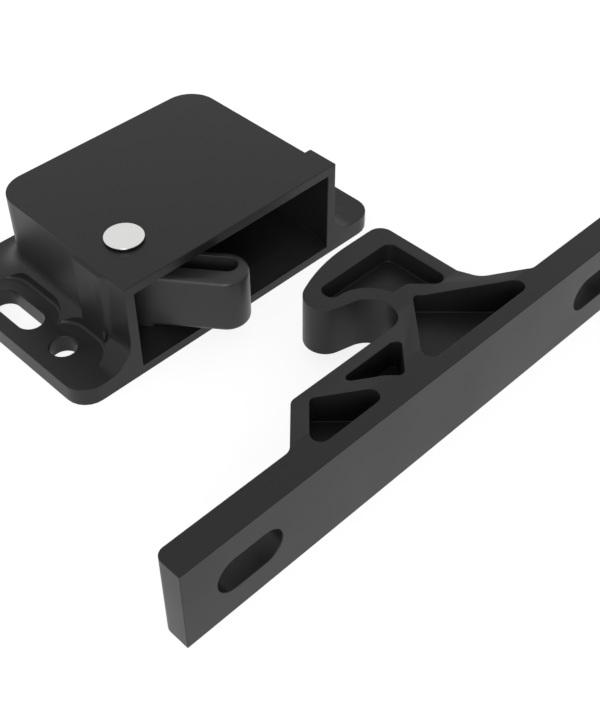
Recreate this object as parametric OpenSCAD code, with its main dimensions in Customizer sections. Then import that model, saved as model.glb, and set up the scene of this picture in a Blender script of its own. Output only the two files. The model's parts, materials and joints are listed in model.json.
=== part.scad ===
// Push-to-close latch: a surface-mounted catch housing with a spring toggled pawl,
// and the hooked striker that the pawl grips.
// Millimetres, +Z up. The origin is midway between the two round screw holes, on
// the housing's mounting face. The mouth faces -Y and the striker stands before it.

/* [Housing] */
// overall height of the housing
body_h = 19; // [16:0.5:30]
// depth from the mouth to the back
body_d = 35.3; // [34:0.1:50]
// half width of the rear box on the pawl's side
body_left = 22.4; // [21.5:0.1:30]
// half width of the rear box on the other side
body_right = 21.7; // [21.5:0.1:30]
// radius of the rear corners
body_r = 5.4; // [2:0.1:9]
// half width of the rim round the mouth
rim_half = 23.05; // [22.5:0.05:30]
// depth of that rim
rim_d = 6.1; // [5:0.1:9]
// radius of the rim's rear edge
rim_r = 0.3; // [0.1:0.1:0.6]
// how far the pivot's swelling stands out from the left rim
swell = 0.55; // [0.3:0.05:2]
// distance from the mouth to the swelling's full width
swell_at = 5.6; // [5:0.1:8]
// length over which the rim's wall runs out to the swelling
swell_ramp = 1.4; // [0.8:0.1:3]
// distance from the mouth to the swelling's rear edge
swell_end = 12.4; // [9:0.1:14]
// bevel along the swelling's top
swell_bevel = 0.5; // [0.2:0.1:0.7]
// half width of the mouth
mouth_half = 21.2; // [20.5:0.1:28]
// thickness of the roof and floor at the mouth's edge
lip_t = 1.8; // [1:0.1:2.6]
// depth of the mouth's straight edge before the lead-in
lip_d = 0.3; // [0.1:0.1:1]
// thickness of the roof and floor behind the lead-in
deck_t = 3.8; // [2.8:0.1:5]
// length of the sloping lead-in
lead_in = 3.6; // [2:0.1:5.5]
// thickness of the wall on the pawl's side
side_wall = 1.9; // [1.5:0.1:3]
// thickness of the wall that the hook passes
hook_wall = 1; // [0.8:0.1:1.9]
// thickness of the back wall
back_wall = 2; // [1.5:0.1:3]

/* [Flange] */
// overall width over the two ears
flange_w = 67.4; // [66:0.1:90]
// thickness of the ears
flange_t = 3.4; // [2.5:0.1:5]
// how far the flange runs on behind the box
ledge_d = 5.4; // [5:0.1:8]
// radius of the ears' corners
flange_r = 4; // [2:0.5:6]
// radius of the cove between wall and ear
cove_r = 4.9; // [3:0.1:6]
// distance between the two round screw holes
hole_pitch = 57.15; // [55:0.05:80]
// diameter of the screw holes and width of the slots
hole_d = 4.7; // [3.5:0.1:6]
// round hole's distance behind the mouth
hole_setback = 11.3; // [9:0.1:14]
// distance from the round hole back to the slot's centre
slot_pitch = 12.7; // [12:0.1:15]
// travel of a screw in the ear's slot
slot_travel = 7.3; // [3:0.1:8]
// radius of the flat seats for the screw heads
seat_r = 5.2; // [4:0.1:5.5]
// radius of the foot round those seats
seat_foot = 0.5; // [0.2:0.05:0.8]
// how far the round hole's seat is stretched to the front
seat_ahead = 2.7; // [0.5:0.1:4]
// how far it is stretched to the back
seat_behind = 0.7; // [0.3:0.1:2]

/* [Pivot] */
// pivot's distance to the left of the mouth's centre
pivot_left = 15.1; // [14:0.1:16]
// pivot's distance behind the mouth
pivot_setback = 9.7; // [9:0.1:12]
// diameter of the rivet's shank
rivet_d = 4; // [3:0.1:5]
// diameter of the rivet's domed head
rivet_head_d = 6.6; // [6:0.1:9]
// height of the head's straight rim
rivet_rim = 0.6; // [0.2:0.1:0.8]
// height of the dome over that rim
rivet_dome = 0.4; // [0.2:0.1:1]
// diameter of the clinched tail in the base
rivet_tail_d = 6; // [5.5:0.1:7]
// thickness of the clinched tail
rivet_tail_t = 0.9; // [0.6:0.1:1.2]
// clearance round the clinched tail
tail_gap = 0.2; // [0.1:0.05:0.4]
// how far the tail is sunk below the mounting face
tail_sink = 0.1; // [0.05:0.05:0.3]
// clearance of the shank in the housing's bore
shank_gap = 0.03; // [0.01:0.01:0.05]

/* [Pawl] */
// distance from the pivot to the centre of the round tip
pawl_reach = 15.9; // [14:0.1:18]
// width of the pawl's arm
pawl_w = 7.9; // [6:0.1:9]
// clearance above and below the pawl's arm
arm_gap = 0.45; // [0.3:0.05:1.5]
// radius of the arm's long edges
pawl_edge = 0.9; // [0.4:0.1:1.2]
// angle from open to closed
pawl_turn = 52; // [40:1:60]
// diameter of the hub round the rivet
hub_d = 11; // [10:0.1:12]
// room round the hub in the housing
hub_gap = 0.5; // [0.3:0.05:0.7]
// wall between the pocket and the gripping side
pawl_wall = 3.1; // [1.5:0.1:3.5]
// wall between the pocket and the other side
pawl_thin_wall = 1.4; // [1:0.1:2]
// wall between the pocket and the round tip's end
pawl_end_wall = 2; // [1.4:0.1:3]
// distance from the hub to the pocket
pawl_root = 1.6; // [1:0.1:3]
// radius of the pocket's corners by the tip
pocket_tip_r = 1.6; // [0.5:0.1:1.6]
// radius of the pocket's corners by the hub
pocket_hub_r = 1; // [0.5:0.1:1.6]
// thickness of the web that closes the pockets
pawl_web = 2.4; // [1.5:0.1:4]
// running clearance round the rivet and the heel's pin
run_gap = 0.06; // [0.03:0.01:0.1]
// clearance above and below the hub
end_gap = 0.15; // [0.1:0.05:0.4]

/* [Toggle] */
// heel pin's distance from the pivot
heel_reach = 7; // [6.8:0.1:7.5]
// diameter of the heel's pin
heel_pin_d = 2.5; // [2:0.1:3]
// wall of the guide's saddle and the heel round that pin
heel_wall = 1.05; // [0.9:0.05:1.3]
// height of the slot in the heel that takes the saddle
fork_h = 4.2; // [3.5:0.1:5]
// clearance above and below the saddle
saddle_gap = 0.2; // [0.1:0.05:0.4]
// clearance round the saddle
saddle_room = 0.35; // [0.2:0.05:0.5]
// width of the saddle's neck
neck_w = 2.6; // [2:0.1:3]
// length of that neck
neck_l = 1; // [0.8:0.1:1.5]
// bearing of the toggle's dead centre from +X
dead_centre = 75; // [72:1:78]
// spring seat's distance from the pivot
seat_reach = 20.5; // [20:0.1:21]
// diameter of the guide's rod
rod_d = 2.2; // [1.8:0.1:2.4]
// radius of the two ribs that the rod runs between
post_r = 1.6; // [1.2:0.1:2]
// clearance between the rod and those ribs
rod_gap = 0.33; // [0.25:0.01:0.5]
// how far the rod reaches past the seat
rod_tail = 1.2; // [0.8:0.1:2]
// thickness of the guide's collar
collar_t = 1; // [0.7:0.1:1.4]
// diameter of the guide's collar
collar_d = 6; // [5.4:0.1:6.4]
// diameter of the spring's wire
wire_d = 0.8; // [0.5:0.1:1]
// mean diameter of the spring's coils
coil_d = 4.2; // [3.8:0.1:4.6]
// number of coils
coils = 6; // [4:1:8]
// clearance at the spring's two ends
coil_gap = 0.08; // [0.05:0.01:0.15]
// radius of the stops for the heel
stop_r = 1; // [0.8:0.1:1.3]
// clearance between heel and stop
stop_gap = 0.25; // [0.15:0.05:0.4]
// bearing of the open stop from the heel's pin
stop_bearing = 10; // [0:1:20]

/* [Striker] */
// length of the striker's bar
bar_l = 101.6; // [95:0.1:120]
// thickness of the bar
bar_t = 5.1; // [4:0.1:7]
// height of the bar
bar_h = 16.15; // [13:0.05:20]
// radius of the bar's rear end edges
bar_r = 1.6; // [0.5:0.1:3]
// distance between the centres of the bar's slots
bar_slot_pitch = 78; // [70:0.5:90]
// overall length of a bar slot
bar_slot_l = 11.8; // [8:0.1:14]
// width of a bar slot
bar_slot_w = 6.4; // [3.5:0.1:8]
// clear distance from the mouth to the bar
stand_off = 38.4; // [34:0.1:60]
// striker's centre to the right of the mouth's centre
side_shift = 1; // [-2:0.1:3]
// half width of the braced block where it leaves the bar
brace_half = 26.75; // [25:0.05:30]
// radius where the left brace meets the block
brace_r = 1.7; // [0.5:0.1:3]
// radius at the foot of both braces
foot_r = 2; // [1:0.1:3]
// radius where the right brace meets the hook's side
bend_r = 3; // [1:0.1:5]
// depth of the braced block
block_d = 8.2; // [6:0.1:9]
// height of the block's ramps, from the bar to past the block
ramp_start = 0.5; // [0.3:0.1:2]
// how far the ramps run past the block
ramp_past = 2; // [1:0.1:3]
// height of the hook
hook_h = 9.75; // [8:0.05:11]
// how far the hook stands out from the bar
hook_d = 27.05; // [25:0.05:30]
// distance of the hook's straight side from the striker's centre
hook_side = 21.15; // [20:0.05:22]
// radius of the hook's outer corner
hook_r = 2.5; // [1.5:0.1:4]
// straight part of the nose beside that corner
nose_flat = 5.8; // [0.5:0.1:8]
// radius of the beak's end
beak_r = 3.7; // [3:0.05:4]
// how far the beak's centre lies to the left of the recess's centre
beak_shift = 0.95; // [0.5:0.05:2.5]
// step between the recess and the beak's round end
beak_step = 0.5; // [0.2:0.1:1]
// clearance between the recess and the pawl's tip
grip_gap = 0.38; // [0.05:0.01:0.5]
// centre of the recess to the right of the striker's centre
recess_x = 2.9; // [2:0.1:5]
// thickness of the striker's outer webs
web_t = 2.7; // [2:0.1:3.4]
// thickness of the webs between the pockets
rib_t = 2.7; // [2:0.05:3.4]
// wall between the mounting face and the pockets
front_wall = 2.85; // [2:0.05:3.5]
// thickness of the hook's nose
nose_wall = 4.3; // [3:0.05:5]
// thickness of the hook's straight side
side_t = 2.45; // [2:0.05:3.2]
// thickness of the web at mid height
mid_web = 2.3; // [1.5:0.1:4]
// radius of the pockets' corners
pocket_r = 1.5; // [0.8:0.1:1.8]
// radius of the corners where two webs meet
apex_r = 1; // [0.6:0.1:1.5]
// how far two webs' middle lines meet inside the face that they run to
apex_drop = 1.5; // [1:0.1:2]
// left end of the hook's pocket, from the recess's centre
nook_left = 1.15; // [0.8:0.05:2.5]
// foot of the hook's pocket above the recess's centre
nook_foot = 1.25; // [1:0.05:2]

/* [Hidden] */
$fn = 48;
e = 0.01;

// places that several pieces share
front = -hole_setback;
back = front + body_d;
mid_z = body_h / 2;
pivot = [-pivot_left, front + pivot_setback];
swell_x = rim_half + swell;
inner_left = side_wall - body_left;
inner_right = body_right - hook_wall;
inner_back = back - back_wall;
inner_h = body_h - 2 * deck_t;
pawl_h = inner_h - 2 * arm_gap;
ear_x = hole_pitch / 2;
slot_y = slot_pitch;

// the toggle: heel pin and seat at rest, with the pawl open
heel_rest = dead_centre - pawl_turn / 2;
heel_shut = dead_centre + pawl_turn / 2;
heel = pivot + heel_reach * [cos(heel_rest), sin(heel_rest)];
heel_end = pivot + heel_reach * [cos(heel_shut), sin(heel_shut)];
seat = pivot + seat_reach * [cos(dead_centre), sin(dead_centre)];
link = norm(seat - heel);
link_angle = atan2(seat[1] - heel[1], seat[0] - heel[0]);
swing = link_angle - dead_centre;
heel_r = heel_pin_d / 2 + heel_wall;
saddle_h = fork_h - 2 * saddle_gap;
post_off = (post_r + rod_d / 2 + rod_gap) / cos(swing);
collar_at = heel_r + neck_l;
spring_from = collar_at + collar_t + coil_gap;
spring_to = link - post_off * sin(swing) - post_r - coil_gap;
rod_end = link + rod_tail;
hub_room = hub_d / 2 + hub_gap;

// the striker's own frame: x from its centre, y from the bar's rear face
recess_r = pawl_w / 2 + grip_gap;
recess = [recess_x, block_d + recess_r];
beak = [recess_x - beak_shift, recess[1] + recess_r + beak_r + beak_step];
nose_x = hook_side - hook_r - nose_flat;
nose_drop = hook_d - beak[1];
nose_r = (pow(nose_x - beak[0], 2) + nose_drop * nose_drop - beak_r * beak_r)
    / (2 * (nose_drop - beak_r));
nose = [nose_x, hook_d - nose_r];
nose_angle = atan2(beak[1] - nose[1], beak[0] - nose[0]);
throat = recess - beak;
throat_turn = acos((recess_r + beak_r) / norm(throat));
beak_to = 360 + atan2(throat[1], throat[0]) - throat_turn;
ramp_to = block_d + ramp_past;

// points of an arc
function arc(c, r, a0, a1, n) =
    [for (i = [0:n]) c + r * [cos(a0 + (a1 - a0) * i / n), sin(a0 + (a1 - a0) * i / n)]];

// an outline from [x, y, corner radius] entries
function unit(v) = v / norm(v);
function corner(a, b, c, r, n) =
    r <= 0 ? [b] :
    let (u = unit(a - b), w = unit(c - b), half = acos(u * w) / 2,
         o = b + unit(u + w) * r / sin(half),
         p = b + u * r / tan(half) - o, q = b + w * r / tan(half) - o,
         a0 = atan2(p[1], p[0]), d = atan2(q[1], q[0]) - a0,
         turn = d - 360 * round(d / 360))
    arc(o, r, a0, a0 + turn, n);
function flat(p) = [p[0], p[1]];
function rounded(pts, n = 6) = let (m = len(pts))
    [for (i = [0:m - 1]) each corner(flat(pts[(i + m - 1) % m]), flat(pts[i]),
        flat(pts[(i + 1) % m]), pts[i][2], n)];

// the outline round two circles
function belt(p, r1, q, r2, n = 12) =
    let (d = q - p, b = atan2(d[1], d[0]), a = acos((r1 - r2) / norm(d)))
    concat(arc(p, r1, b + a, b + 360 - a, n), arc(q, r2, b - a, b + a, n));

// Housing

// plan of the box with its rim and swelling, short of the round rear corners
module box_plan() {
    polygon(rounded([
        [-rim_half, front, 0], [rim_half, front, 0],
        [rim_half, front + rim_d, rim_r], [body_right, front + rim_d, 0],
        [body_right, back - body_r, 0], [body_right - body_r, back - body_r, 0],
        [body_right - body_r, back, 0], [body_r - body_left, back, 0],
        [body_r - body_left, back - body_r, 0], [-body_left, back - body_r, 0],
        [-body_left, front + swell_end, 0], [-swell_x, front + swell_end, 0],
        [-swell_x, front + swell_at, 2 * swell_ramp],
        [-rim_half, front + swell_at - swell_ramp, 2 * swell_ramp]]));
}

// the cove's outline, for a wall that stands w out
function cove_line(w) = concat(
    arc([w + cove_r, flange_t + cove_r], cove_r, 180, 270, 10), [[w + cove_r, e]]);

// solid cove along a straight wall, from y0 back to y1
module cove(w, y0, y1) {
    translate([0, y1, 0]) rotate([90, 0, 0]) linear_extrude(y1 - y0)
        polygon(concat([[w - 1, e], [w - 1, flange_t + cove_r]], cove_line(w)));
}

// a round rear corner, wall and cove turned about one axis
module rear_corner(w) {
    translate([w - body_r, back - body_r, 0]) rotate_extrude(angle = 90)
        polygon(concat([[0, e], [0, body_h], [body_r, body_h]], cove_line(body_r)));
}

// the room over a screw head's seat, half a section from its middle
function seat_line() = concat([[0, flange_t]],
    arc([seat_r - seat_foot, flange_t + seat_foot], seat_foot, 270, 360, 3),
    [[seat_r, body_h + 1], [0, body_h + 1]]);

module seat_room(y0, y1) {
    for (y = [y0, y1]) translate([ear_x, y, 0]) rotate_extrude() polygon(seat_line());
    for (s = [0, 1]) translate([ear_x, y1, 0]) mirror([s, 0, 0]) rotate([90, 0, 0])
        linear_extrude(y1 - y0) polygon(seat_line());
}

// everything that rises above the flange, less the seats
module box_and_coves() {
    difference() {
        union() {
            linear_extrude(body_h) box_plan();
            cove(rim_half, front, front + rim_d);
            cove(body_right, front + rim_d - e, back - body_r);
            rear_corner(body_right);
            mirror([1, 0, 0]) {
                cove(rim_half, front, front + rim_d);
                cove(swell_x, front + swell_at, front + swell_end);
                cove(body_left, front + rim_d, back - body_r);
                rear_corner(body_left);
            }
            translate([body_r - body_left, 0, 0]) rotate([90, 0, 90])
                linear_extrude(body_left + body_right - 2 * body_r)
                polygon(concat([[back - 1, e], [back - 1, flange_t + cove_r]], cove_line(back)));
        }
        for (s = [0, 1]) mirror([s, 0, 0]) {
            seat_room(-seat_ahead, seat_behind);
            seat_room(slot_y - slot_travel / 2, slot_y + slot_travel / 2);
        }
        // bevel along the swelling's top
        translate([0, front + swell_end + 1, 0]) rotate([90, 0, 0])
            linear_extrude(swell_end + 2) polygon([
                [-swell_x - 1, body_h - swell_bevel - 1],
                [-swell_x + swell_bevel + 1, body_h + 1], [-swell_x - 1, body_h + 1]]);
    }
}

// the hollow: mouth, sloping lead-in and the inner room
module hollow() {
    difference() {
        intersection() {
            translate([0, 0, -1]) linear_extrude(body_h + 2) {
                polygon(rounded([
                    [-mouth_half, front - 1, 0], [mouth_half, front - 1, 0],
                    [mouth_half, front + lip_d, 0], [inner_right, front + lead_in, 0],
                    [inner_right, inner_back, body_r - back_wall],
                    [inner_left, inner_back, body_r - back_wall],
                    [inner_left, front + lead_in, 0], [-mouth_half, front + lip_d, 0]]));
                translate(pivot) circle(r = hub_room);
            }
            translate([-body_left - 1, 0, 0]) rotate([90, 0, 90])
                linear_extrude(2 * body_left + 2) polygon([
                    [front - 1, lip_t], [front + lip_d, lip_t],
                    [front + lead_in, deck_t], [back, deck_t],
                    [back, body_h - deck_t], [front + lead_in, body_h - deck_t],
                    [front + lip_d, body_h - lip_t], [front - 1, body_h - lip_t]]);
        }
        spring_seat();
        stops();
    }
}

// two ribs on the back wall whose round ends carry the spring
module spring_seat() {
    for (s = [-1, 1]) {
        p = seat + s * post_off * [-sin(dead_centre), cos(dead_centre)];
        translate([p[0], p[1], 0]) cylinder(r = post_r, h = body_h);
        translate([p[0] - post_r / 2, p[1], 0]) cube([post_r, back - p[1], body_h]);
    }
}

// a post that the heel meets with the pawl open, and a rib for the closed end
module stops() {
    open_at = heel + (heel_r + stop_gap + stop_r) * [cos(stop_bearing), sin(stop_bearing)];
    translate([open_at[0], open_at[1], 0]) cylinder(r = stop_r, h = body_h);
    reach = heel_end[0] - heel_r - stop_gap - inner_left;
    translate([inner_left - 1, heel_end[1] - stop_r, 0])
        cube([1 + reach, 2 * stop_r, body_h]);
}

module housing() {
    color("#3b3b3b") difference() {
        union() {
            linear_extrude(flange_t) polygon(rounded([
                [-flange_w / 2, front, flange_r], [flange_w / 2, front, flange_r],
                [flange_w / 2, back + ledge_d, flange_r],
                [-flange_w / 2, back + ledge_d, flange_r]]));
            box_and_coves();
        }
        hollow();
        for (s = [-1, 1]) {
            translate([s * ear_x, 0, -1]) cylinder(d = hole_d, h = flange_t + 2);
            translate([s * ear_x, slot_y, -1]) {
                for (t = [-1, 1]) translate([0, t * slot_travel / 2, 0])
                    cylinder(d = hole_d, h = flange_t + 2);
                translate([-hole_d / 2, -slot_travel / 2, 0])
                    cube([hole_d, slot_travel, flange_t + 2]);
            }
        }
        translate([pivot[0], pivot[1], -1]) cylinder(d = rivet_d, h = body_h + 2);
        translate([pivot[0], pivot[1], -1])
            cylinder(d = rivet_tail_d + 2 * tail_gap, h = 1 + tail_sink + rivet_tail_t);
    }
}

// Pawl, drawn closed and then turned open

module pawl_pocket() {
    inner = pawl_w / 2;
    end_x = pawl_reach + inner - pawl_end_wall;
    from_x = hub_d / 2 + pawl_root;
    linear_extrude(pawl_h) polygon(rounded([
        [from_x, pawl_wall - inner, pocket_hub_r], [end_x, pawl_wall - inner, pocket_tip_r],
        [end_x, inner - pawl_thin_wall, pocket_tip_r],
        [from_x, inner - pawl_thin_wall, pocket_hub_r]]));
}

// arm with round long edges, and the same section turned about the tip's axis
module arm() {
    w = pawl_w / 2;
    h = pawl_h / 2;
    rotate([90, 0, 90]) linear_extrude(pawl_reach) polygon(rounded([
        [-w, -h, pawl_edge], [w, -h, pawl_edge], [w, h, pawl_edge], [-w, h, pawl_edge]], 4));
    translate([pawl_reach, 0, 0]) rotate([0, 0, -90]) rotate_extrude(angle = 180)
        polygon(rounded([[0, -h, 0], [w, -h, pawl_edge], [w, h, pawl_edge], [0, h, 0]], 4));
}

module pawl() {
    local = heel_reach * [cos(heel_shut), sin(heel_shut)];
    color("#3f3f3f") translate([pivot[0], pivot[1], mid_z]) rotate([0, 0, -pawl_turn]) {
        difference() {
            union() {
                arm();
                translate([0, 0, end_gap - inner_h / 2])
                    cylinder(d = hub_d, h = inner_h - 2 * end_gap);
                translate([0, 0, -pawl_h / 2]) linear_extrude(pawl_h)
                    polygon(belt([0, 0], hub_d / 2 - hub_gap, local, heel_r, 16));
            }
            translate([0, 0, -body_h / 2])
                cylinder(d = rivet_d + 2 * run_gap, h = body_h);
            for (s = [0, 1]) mirror([0, 0, s]) translate([0, 0, pawl_web / 2]) pawl_pocket();
            translate([local[0], local[1], -fork_h / 2])
                cylinder(r = heel_r + saddle_room, h = fork_h);
        }
        translate([local[0], local[1], -fork_h / 2 - 1])
            cylinder(d = heel_pin_d, h = fork_h + 2);
    }
}

// Rivet: domed head on the roof, clinched tail sunk in the base

module pivot_rivet() {
    rise = rivet_dome;
    half = rivet_head_d / 2;
    tail = rivet_tail_d / 2;
    shank = rivet_d / 2 - shank_gap;
    ball = (half * half + rise * rise) / (2 * rise);
    sweep = asin(half / ball);
    color("#e6e6e4") translate([pivot[0], pivot[1], 0]) rotate_extrude()
        polygon(concat(
            [[0, tail_sink], [tail - rivet_tail_t / 3, tail_sink],
             [tail, tail_sink + rivet_tail_t / 3], [tail, tail_sink + rivet_tail_t],
             [shank, tail_sink + rivet_tail_t], [shank, body_h], [half, body_h]],
            arc([0, body_h + rivet_rim + rise - ball], ball, 90 - sweep, 90, 6)));
}

// Toggle: the guide's saddle rides on the heel's pin, its rod slides in the seat

module spring_guide() {
    bore = heel_pin_d / 2 + run_gap;
    color("#4a4a4c") translate([heel[0], heel[1], mid_z]) rotate([0, 0, link_angle]) {
        difference() {
            union() {
                translate([0, 0, -saddle_h / 2]) cylinder(r = heel_r, h = saddle_h);
                translate([0, -neck_w / 2, -saddle_h / 2])
                    cube([collar_at + e, neck_w, saddle_h]);
            }
            translate([0, 0, -saddle_h]) cylinder(r = bore, h = 2 * saddle_h);
            translate([-heel_r - 1, -bore, -saddle_h])
                cube([heel_r + 1, 2 * bore, 2 * saddle_h]);
        }
        translate([collar_at, 0, 0]) rotate([0, 90, 0]) cylinder(d = collar_d, h = collar_t);
        translate([collar_at + collar_t - e, 0, 0]) rotate([0, 90, 0])
            cylinder(d = rod_d, h = rod_end - collar_at - collar_t + e);
    }
}

// one helical wire as a swept tube
module toggle_spring() {
    steps = coils * 16;
    sides = 6;
    w = wire_d / 2;
    run = spring_to - spring_from - wire_d;
    pts = [for (i = [0:steps], j = [0:sides - 1])
        let (a = 360 * i / 16, b = 360 * j / sides, r = coil_d / 2 + w * cos(b))
        [spring_from + w + run * i / steps + w * sin(b), r * cos(a), r * sin(a)]];
    last = steps * sides;
    faces = concat(
        [[for (j = [0:sides - 1]) j]],
        [for (i = [0:steps - 1], j = [0:sides - 1])
            [i * sides + j, (i + 1) * sides + j, (i + 1) * sides + (j + 1) % sides,
             i * sides + (j + 1) % sides]],
        [[for (j = [sides - 1:-1:0]) last + j]]);
    color("#9a9a98") translate([heel[0], heel[1], mid_z]) rotate([0, 0, link_angle])
        polyhedron(pts, faces, convexity = 6);
}

// Striker

// plan of the braced block and the hook, up to the middle of the bar
module hook_plan() {
    bend = [hook_side, brace_half - hook_side];
    polygon(concat(
        [[-brace_half - foot_r, -1], [brace_half + foot_r, -1]],
        corner([2 * brace_half, 0], [brace_half, 0], bend, foot_r, 5),
        corner([brace_half, 0], bend, [hook_side, hook_d], bend_r, 5),
        arc([hook_side - hook_r, hook_d - hook_r], hook_r, 0, 90, 8),
        arc(nose, nose_r, 90, nose_angle, 10),
        arc(beak, beak_r, nose_angle, beak_to, 16),
        arc(recess, recess_r, beak_to - 180, -90, 20),
        corner([0, block_d], [block_d - brace_half, block_d], [-brace_half, 0], brace_r, 4),
        corner([block_d - brace_half, block_d], [-brace_half, 0], [-2 * brace_half, 0],
            foot_r, 5)));
}

// pockets between the 45 degree webs of the truss, and the hook's own pocket
module pockets() {
    d = sqrt(2);
    low = front_wall - bar_t;
    top = block_d - web_t;
    side = hook_side - side_t;
    outer = brace_half - web_t * d;
    // webs that rise to the right stand on x - y, the others on x + y
    right_rib = recess[0] - recess[1] + (recess_r + web_t) * d;
    left_rib = right_rib - rib_t * d;
    foot = left_rib - 2 * apex_drop;
    far = foot - rib_t * d;
    cross = outer + rib_t * d;
    ring = recess_r + rib_t;
    // under the hook's side
    polygon(rounded([[right_rib + low, low, pocket_r], [outer - low, low, pocket_r],
        [(outer + right_rib) / 2, (outer - right_rib) / 2, apex_r]]));
    // under the recess
    polygon(rounded([[foot - top, top, apex_r],
        [(foot + left_rib) / 2, (foot - left_rib) / 2, apex_r],
        [left_rib + top, top, apex_r]]));
    // by the left brace
    polygon(rounded([[low - outer, low, pocket_r], [far - low, low, pocket_r],
        [(far - outer) / 2, (far + outer) / 2, apex_r]]));
    // in the hook, round the recess
    polygon(rounded(concat(
        [[side, cross - side, pocket_r], [side, hook_d - nose_wall, pocket_r],
         [recess[0] - nook_left, hook_d - nose_wall, pocket_r],
         [recess[0] - nook_left, recess[1] + ring, pocket_r]],
        [for (p = arc(recess, ring, 80, 12, 9)) [p[0], p[1], 0]],
        [[cross - recess[1] - nook_foot, recess[1] + nook_foot, pocket_r]])));
}

// side view: full height at the bar, ramps down to the hook's height
module side_profile() {
    polygon([
        [-bar_t, 0], [ramp_start, 0], [ramp_to, bar_h / 2 - hook_h / 2],
        [hook_d + 1, bar_h / 2 - hook_h / 2], [hook_d + 1, bar_h / 2 + hook_h / 2],
        [ramp_to, bar_h / 2 + hook_h / 2], [ramp_start, bar_h], [-bar_t, bar_h]]);
}

module striker() {
    color("#484848") translate([side_shift, front - stand_off, 0]) difference() {
        intersection() {
            linear_extrude(bar_h) union() {
                polygon(rounded([[-bar_l / 2, -bar_t, 0], [bar_l / 2, -bar_t, 0],
                    [bar_l / 2, 0, bar_r], [-bar_l / 2, 0, bar_r]]));
                hook_plan();
            }
            translate([-bar_l / 2 - 1, 0, 0]) rotate([90, 0, 90])
                linear_extrude(bar_l + 2) side_profile();
        }
        for (s = [0, 1]) translate([0, 0, bar_h / 2]) mirror([0, 0, s])
            translate([0, 0, mid_web / 2]) linear_extrude(bar_h) pockets();
        for (s = [-1, 1]) translate([s * bar_slot_pitch / 2, 1, bar_h / 2]) {
            run = bar_slot_l - bar_slot_w;
            for (t = [-1, 1]) translate([t * run / 2, 0, 0]) rotate([90, 0, 0])
                cylinder(d = bar_slot_w, h = bar_t + 2);
            translate([-run / 2, -bar_t - 2, -bar_slot_w / 2])
                cube([run, bar_t + 2, bar_slot_w]);
        }
    }
}

housing();
pawl();
pivot_rivet();
spring_guide();
toggle_spring();
striker();
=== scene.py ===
"""A surface-mounted push-to-close latch, open, with its hooked striker laid out before the mouth.

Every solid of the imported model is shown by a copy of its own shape, whose edges are softened as
a mould or a tool leaves them. Two places differ from the solids: the pawl's hub ends flush with
the arm's gripping face, and the swelling's top bevel on the housing has a straight foot.
"""
import json
import math

import bmesh
import bpy
import numpy as np
from mathutils import Matrix, Vector


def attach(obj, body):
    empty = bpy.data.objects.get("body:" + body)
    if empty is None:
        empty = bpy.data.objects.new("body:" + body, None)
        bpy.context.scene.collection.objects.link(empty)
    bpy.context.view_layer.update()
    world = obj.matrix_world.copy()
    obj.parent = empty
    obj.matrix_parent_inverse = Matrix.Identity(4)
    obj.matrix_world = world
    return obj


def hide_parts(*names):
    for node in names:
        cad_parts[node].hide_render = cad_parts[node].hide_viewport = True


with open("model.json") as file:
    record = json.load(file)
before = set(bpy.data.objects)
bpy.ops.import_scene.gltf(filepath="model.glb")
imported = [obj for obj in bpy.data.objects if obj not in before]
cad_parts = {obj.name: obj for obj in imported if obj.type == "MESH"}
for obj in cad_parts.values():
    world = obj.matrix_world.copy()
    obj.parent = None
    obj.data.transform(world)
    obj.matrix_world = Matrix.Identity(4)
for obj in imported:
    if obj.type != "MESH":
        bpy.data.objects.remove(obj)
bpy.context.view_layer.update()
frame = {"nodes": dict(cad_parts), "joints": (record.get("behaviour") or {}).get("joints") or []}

# Camera
# A long lens from the front left and 45 degrees up, which looks down into the mouth and
# at the striker's front face. It looks at a point on the table between the two halves.
scene = bpy.context.scene
mm = 0.001
look_at = Vector((-1.157, -26.96, 0)) * mm
camera_distance = 195.3 * mm
camera_azimuth = math.radians(-44.835)
camera_elevation = math.radians(45.0)
camera_roll = math.radians(-0.04)
toward_camera = Vector((math.sin(camera_azimuth) * math.cos(camera_elevation),
                        -math.cos(camera_azimuth) * math.cos(camera_elevation),
                        math.sin(camera_elevation)))
camera = bpy.data.objects.new("camera", bpy.data.cameras.new("camera"))
camera.data.lens = 59.35
camera.data.sensor_width = 36
camera.data.sensor_fit = "AUTO"
camera.data.clip_start = 10 * mm
camera.data.clip_end = 10
camera.location = look_at + toward_camera * camera_distance
aim = (-toward_camera).to_track_quat("-Z", "Y")
camera.rotation_mode = "QUATERNION"
camera.rotation_quaternion = aim @ Matrix.Rotation(camera_roll, 4, "Z").to_quaternion()
scene.collection.objects.link(camera)
scene.camera = camera
scene.view_settings.view_transform = "Standard"


# Table and light
# A matt white table in a white light tent: even light from all round and one soft lamp. The
# table shows as plain white and keeps a light shadow under the parts.
def linear(hex_colour):
    """An sRGB hex colour as linear red, green, blue and alpha."""
    parts = [int(hex_colour[i:i + 2], 16) / 255 for i in (1, 3, 5)]
    return [v / 12.92 if v <= 0.04045 else ((v + 0.055) / 1.055) ** 2.4 for v in parts] + [1.0]


def add(tree, kind, settings=(), **links):
    """Adds a node of this kind, sets its own settings, and fills its inputs: a socket is
    linked, anything else is set as the input's value. Base_Color means the input Base Color,
    and _6 the input of number 6."""
    node = tree.nodes.new(kind)
    for name, value in dict(settings).items():
        setattr(node, name, value)
    for name, value in links.items():
        socket = node.inputs[int(name[1:]) if name[0] == "_" else name.replace("_", " ")]
        if isinstance(value, bpy.types.NodeSocket):
            tree.links.new(value, socket)
        else:
            socket.default_value = value
    return node


def new_material(name):
    """An empty material and its node tree."""
    material = bpy.data.materials.new(name)
    material.use_nodes = True
    material.node_tree.nodes.clear()
    return material, material.node_tree


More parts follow.
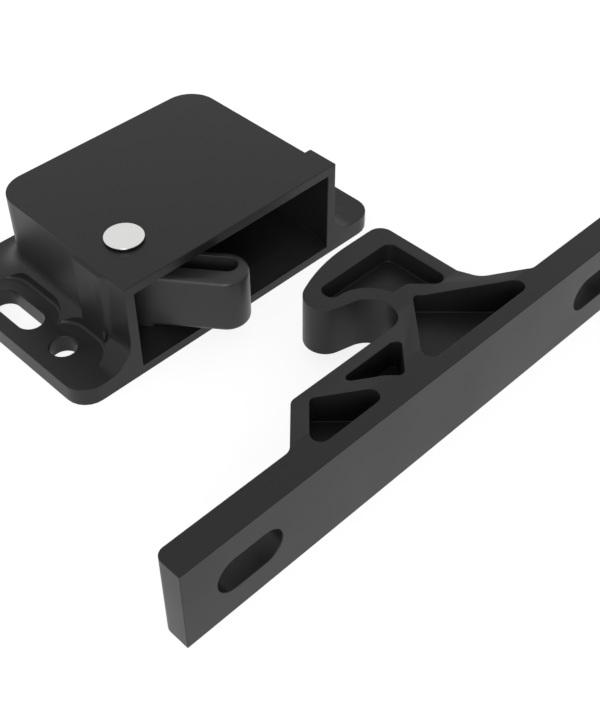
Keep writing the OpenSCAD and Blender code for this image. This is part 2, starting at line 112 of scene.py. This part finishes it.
table_half = 1.5
table_drop = 0.02 * mm   # keeps the table's face apart from the parts' undersides
table_mesh = bpy.data.meshes.new("table")
table_mesh.from_pydata([(-table_half, -table_half, 0), (table_half, -table_half, 0),
                        (table_half, table_half, 0), (-table_half, table_half, 0)],
                       [], [(0, 1, 2, 3)])
table = bpy.data.objects.new("table", table_mesh)
table.location.z = -table_drop
scene.collection.objects.link(table)

# Painted board, matt: part of its white is its own and the rest is added for the camera and
# for reflections, so that it reads as white and its shadows stay light.
board_glow = 0.86
board, tree = new_material("white_painted_board")
path = add(tree, "ShaderNodeLightPath")
seen = add(tree, "ShaderNodeMath", {"operation": "MAXIMUM"},
           _0=path.outputs["Is Camera Ray"], _1=path.outputs["Is Glossy Ray"])
seen = add(tree, "ShaderNodeMath", {"operation": "MAXIMUM"},
           _0=seen.outputs[0], _1=path.outputs["Is Transmission Ray"])
glow = add(tree, "ShaderNodeMath", {"operation": "MULTIPLY"}, _0=seen.outputs[0],
           _1=board_glow)
own = add(tree, "ShaderNodeBsdfDiffuse", Color=linear("#808080"))
shown = add(tree, "ShaderNodeEmission", Color=linear("#ffffff"), Strength=glow.outputs[0])
both = add(tree, "ShaderNodeAddShader", _0=own.outputs[0], _1=shown.outputs[0])
add(tree, "ShaderNodeOutputMaterial", Surface=both.outputs[0])
table_mesh.materials.append(board)

world = bpy.data.worlds.new("light_tent")
scene.world = world
world.use_nodes = True
tent_walls = world.node_tree.nodes["Background"]
tent_walls.inputs["Color"].default_value = linear("#ffffff")
tent_walls.inputs["Strength"].default_value = 0.78

# A low, wide lamp on the camera's side. It draws the light line along the pawl's round edge.
lamp_distance = 600 * mm
lamp_elevation = math.radians(20)
lamp = bpy.data.lights.new("front_softbox", "AREA")
lamp.shape = "DISK"
lamp.size = 300 * mm
lamp.energy = 1.5
lamp_object = bpy.data.objects.new("front_softbox", lamp)
lamp_object.location = lamp_distance * Vector((
    math.sin(camera_azimuth) * math.cos(lamp_elevation),
    -math.cos(camera_azimuth) * math.cos(lamp_elevation), math.sin(lamp_elevation)))
lamp_object.rotation_euler = (-lamp_object.location).to_track_quat("-Z", "Y").to_euler()
scene.collection.objects.link(lamp_object)


# Housing
# The fixed half: one injection moulding in black glass-filled nylon, screwed down through the
# ears. The mouth's rim, the swelling beside the rivet and the seats for the screws belong to it.
def softened(node, name, body, material, width, sharp=32, special=None, reshape=None):
    """A copy of a CAD node, shown in its place. Its triangles are joined and flat areas made
    one face each; then every edge that turns by more than `sharp` degrees is rounded to
    `width` millimetres, and shading is smooth across all softer edges. `special` gives some
    edges a width of their own, and `reshape` may move the copy's points first."""
    source = frame["nodes"][node].data
    points = np.empty(len(source.vertices) * 3)
    source.vertices.foreach_get("co", points)
    points = points.reshape(-1, 3)
    if reshape:
        points = reshape(points)
    corners = np.empty(len(source.loops), int)
    source.loops.foreach_get("vertex_index", corners)
    mesh = bpy.data.meshes.new(name)
    mesh.from_pydata(points, [], corners.reshape(-1, 3))
    form = bmesh.new()
    form.from_mesh(mesh)
    bmesh.ops.remove_doubles(form, verts=form.verts, dist=join_within)
    bmesh.ops.dissolve_limit(form, angle_limit=math.radians(flat_within), verts=form.verts,
                             edges=form.edges)
    weight = form.edges.layers.float.new("bevel_weight_edge")
    for edge in form.edges:
        if edge.is_manifold and edge.calc_face_angle() > math.radians(sharp):
            own = special(edge) if special else None
            edge[weight] = (width if own is None else own) / widest
    form.to_mesh(mesh)
    form.free()
    mesh.shade_smooth()
    mesh.set_sharp_from_angle(angle=math.radians(sharp))
    mesh.materials.append(material)
    piece = bpy.data.objects.new(name, mesh)
    scene.collection.objects.link(piece)
    if width:
        bevel = piece.modifiers.new("soft_edges", "BEVEL")
        bevel.width = widest * mm
        bevel.segments = 2
        bevel.limit_method = "WEIGHT"
        bevel.use_clamp_overlap = False
        bevel.harden_normals = True
    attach(piece, body)
    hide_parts(node)


def moulded_plastic(name, colour, roughness, ior, grain_mm, grain_depth_mm):
    """A moulded plastic: its two nearly equal dark colours, a fine spark-eroded grain all
    over, and slow changes of colour and gloss where the melt cooled at different rates. The
    grained skin mirrors less than a polished one, which `skin_mirror` stands for."""
    material, tree = new_material(name)
    place = add(tree, "ShaderNodeTexCoord").outputs["Object"]
    grain = add(tree, "ShaderNodeTexNoise", Vector=place, Scale=1 / (grain_mm * mm),
                Detail=2.0, Roughness=0.5)
    drift = add(tree, "ShaderNodeTexNoise", Vector=place, Scale=1 / (flow_mm * mm),
                Detail=2.0, Roughness=0.5)
    gloss = add(tree, "ShaderNodeMapRange", Value=drift.outputs["Fac"],
                From_Min=noise_low, From_Max=noise_high,
                To_Min=roughness - gloss_drift, To_Max=roughness + gloss_drift)
    shade = add(tree, "ShaderNodeMix", {"data_type": "RGBA"}, Factor=drift.outputs["Fac"],
                _6=linear(colour[0]), _7=linear(colour[1]))
    bump = add(tree, "ShaderNodeBump", Strength=1.0, Distance=grain_depth_mm * mm,
               Height=grain.outputs["Fac"])
    surface = add(tree, "ShaderNodeBsdfPrincipled", Base_Color=shade.outputs[2],
                  Roughness=gloss.outputs[0], IOR=ior, Specular_IOR_Level=skin_mirror,
                  Normal=bump.outputs[0])
    add(tree, "ShaderNodeOutputMaterial", Surface=surface.outputs[0])
    return material


join_within = 0.001 * mm   # points closer than this are one point
flat_within = 0.3          # faces that turn less than this many degrees are one face
widest = 0.5               # the widest round in millimetres; edge weights are shares of it
flow_mm = 14               # how far the melt runs before its colour and gloss change
gloss_drift = 0.03
skin_mirror = 0.32
noise_low, noise_high = 0.3, 0.7   # nearly all of a noise's values lie between these

# Black glass-filled nylon 6, moulded in a tool with a fine spark-eroded finish. It looks even
# and satin: nearly all that the eye sees on it is the white room, dimmed. The real grain is
# about 0.05 mm, too fine to show, so it is drawn at 0.25 mm.
housing_nylon = moulded_plastic("black_nylon_fine_matt_mould", ("#19191a", "#1d1d1e"),
                                roughness=0.38, ior=1.5, grain_mm=0.25, grain_depth_mm=0.003)

# The places whose faces are too narrow to take a round, as low and high corners in millimetres:
# the foot of the swelling's ramp, the foot of the right rim, and the left slot's seat's upper
# edge.
unrounded = (((-25.2, -7.4, 3.3), (-23, -5, 8.4)),
             ((21.5, -5.7, 3.3), (40, -4.8, 9)),
             ((-24, 6.4, 4.6), (-23.3, 18.7, 5.5)))
# The mouth's two inner corners beside the pawl run front to back and are rounder than the rest.
mouth_corner_x = (-21.5, -20.8)
mouth_corner_end_y = -6
mouth_corner_round = 0.45


def housing_edges(edge):
    """The width of the round on an edge that differs from the rest, by the edge's middle and
    direction. The other edges get nothing from here."""
    middle = (edge.verts[0].co + edge.verts[1].co) / 2 / mm
    along = edge.verts[1].co - edge.verts[0].co
    for corner, opposite in unrounded:
        if all(a < v < b for a, v, b in zip(corner, middle, opposite)):
            return 0
    runs_back = abs(along.y) > 0.7 * along.length   # within 45 degrees of front to back
    if (mouth_corner_x[0] < middle.x < mouth_corner_x[1] and middle.y < mouth_corner_end_y
            and runs_back):
        return mouth_corner_round


swelling_x = -23.6 * mm
shoulder_z = 18.5 * mm
shoulder_reach = 0.3 * mm
notch_x = -23.37 * mm
notch_y = -4.3 * mm


def straight_shoulder(points):
    """Sets the foot of the swelling's top bevel in one straight line: every point of the notch
    that the room over the screw's seat cuts there goes back to the swelling's face."""
    x, y, z = points.T
    foot = ((x > swelling_x) & (x < notch_x) & (y > notch_y)
            & (abs(z - shoulder_z) < shoulder_reach))
    straight = points.copy()
    straight[foot, 0] = swelling_x
    straight[foot, 2] = shoulder_z
    return straight


softened("housing", "housing_moulding", "catch", housing_nylon, 0.14,
         special=housing_edges, reshape=straight_shoulder)

# Pawl
# The swinging arm that grips the hook, a separate moulding in black acetal that turns on the
# rivet. Its long edges are round, and its pocket saves material.

# Black acetal, moulded a little smoother than the housing because it slides on the striker. Its
# colours are painted a shade lighter than the housing's black: painted light that brightens its
# front face as the lit table mirrored in it would.
pawl_acetal = moulded_plastic("black_acetal_moulded", ("#2c2c2d", "#303031"),
                              roughness=0.36, ior=1.5, grain_mm=0.25, grain_depth_mm=0.002)
arm_width = 7.9 * mm   # as in the solid
pawl_turn = next(joint for joint in frame["joints"] if joint["name"] == "pawl_turn")


def flush_hub(points):
    """Moves every point that stands proud of the arm's gripping face back into that face, so
    that the hub ends flush with it. Distances are taken across the open arm."""
    angle = -math.radians(pawl_turn["range_deg"][1])
    across = np.array([-math.sin(angle), math.cos(angle)])
    proud = (points[:, :2] - pawl_turn["pos_m"][:2]) @ across + arm_width / 2
    flush = points.copy()
    flush[:, :2] -= np.minimum(proud, 0)[:, None] * across
    return flush


softened("pawl", "pawl_moulding", "pawl", pawl_acetal, 0.14, reshape=flush_hub)

# Pivot rivet
# A cold-headed steel rivet, nickel plated and bright, that holds the pawl in the housing. Its
# head is a low dome on a straight rim.
rim_top = 19.3 * mm
dome_foot = 19.45 * mm
plate_wave = 0.6 * mm

# Nickel plate on cold-headed steel: bright and a little uneven on the dome, where it mirrors the
# white tent. The straight rim below the dome is painted dark, a painted reflection of the dark
# roof round the head.
rivet_nickel, tree = new_material("nickel_plated_steel_cold_headed")
place = add(tree, "ShaderNodeTexCoord").outputs["Object"]
rub = add(tree, "ShaderNodeTexNoise", Vector=place, Scale=1 / plate_wave, Detail=3.0)
gloss = add(tree, "ShaderNodeMapRange", Value=rub.outputs["Fac"],
            From_Min=noise_low, From_Max=noise_high, To_Min=0.2, To_Max=0.28)
bump = add(tree, "ShaderNodeBump", Strength=1.0, Distance=0.0006 * mm,
           Height=rub.outputs["Fac"])
height = add(tree, "ShaderNodeSeparateXYZ", Vector=place).outputs["Z"]
# Painted shade: below the dome the colour fades to dark grey on the rim, for the dark roof that
# the rim mirrors.
painted_rim_shade_blend = add(tree, "ShaderNodeMapRange", Value=height, From_Min=rim_top, From_Max=dome_foot)
shade = add(tree, "ShaderNodeMix", {"data_type": "RGBA"}, Factor=painted_rim_shade_blend.outputs[0],
            _6=linear("#4a4947"), _7=linear("#f4f4f2"))
surface = add(tree, "ShaderNodeBsdfPrincipled", Base_Color=shade.outputs[2], Metallic=1.0,
              Roughness=gloss.outputs[0], Normal=bump.outputs[0])
add(tree, "ShaderNodeOutputMaterial", Surface=surface.outputs[0])
softened("pivot_rivet", "rivet_plated", "catch", rivet_nickel, 0.08)

# Spring guide
# A small rod with a collar and a saddle, moulded in dark grey acetal, that snaps on the pin of
# the pawl's heel and carries the spring. It is inside the housing.

# Dark grey acetal, plain and satin, a shade lighter than the housing round it.
guide_acetal = moulded_plastic("dark_grey_acetal_moulded", ("#262628", "#2c2c2e"),
                               roughness=0.38, ior=1.48, grain_mm=0.25, grain_depth_mm=0.002)
softened("spring_guide", "guide_moulding", "toggle", guide_acetal, 0.1)

# Toggle spring
# A compression spring of drawn wire round the guide's rod, pressed between the guide's collar
# and two ribs on the housing's back wall.

# Drawn music wire, grey and lightly oiled: a soft, slightly uneven shine. The marks of the die
# are finer than can be shown, so they are drawn at 0.4 mm.
draw_mark = 0.4 * mm
wire_steel, tree = new_material("music_wire_drawn_oiled")
place = add(tree, "ShaderNodeTexCoord").outputs["Object"]
draw = add(tree, "ShaderNodeTexNoise", Vector=place, Scale=1 / draw_mark, Detail=2.0)
gloss = add(tree, "ShaderNodeMapRange", Value=draw.outputs["Fac"],
            From_Min=noise_low, From_Max=noise_high, To_Min=0.3, To_Max=0.4)
surface = add(tree, "ShaderNodeBsdfPrincipled", Base_Color=linear("#9c9b98"), Metallic=1.0,
              Roughness=gloss.outputs[0])
add(tree, "ShaderNodeOutputMaterial", Surface=surface.outputs[0])

# The wire keeps its facets' form and no edge is rounded, because only its two cut ends are sharp.
softened("toggle_spring", "spring_wire", "toggle", wire_steel, 0, sharp=75)

# Striker
# The half on the door: one moulding in black glass-filled nylon, a slotted bar with a braced
# block and a hook, screwed on by the bar. Its pockets leave webs of even thickness.

# The same black nylon as the housing's, from a mould a touch rougher, so its faces look flatter.
striker_nylon = moulded_plastic("black_nylon_satin_mould", ("#19191a", "#1d1d1e"),
                                roughness=0.4, ior=1.5, grain_mm=0.25, grain_depth_mm=0.003)
softened("striker", "striker_moulding", "catch", striker_nylon, 0.14)
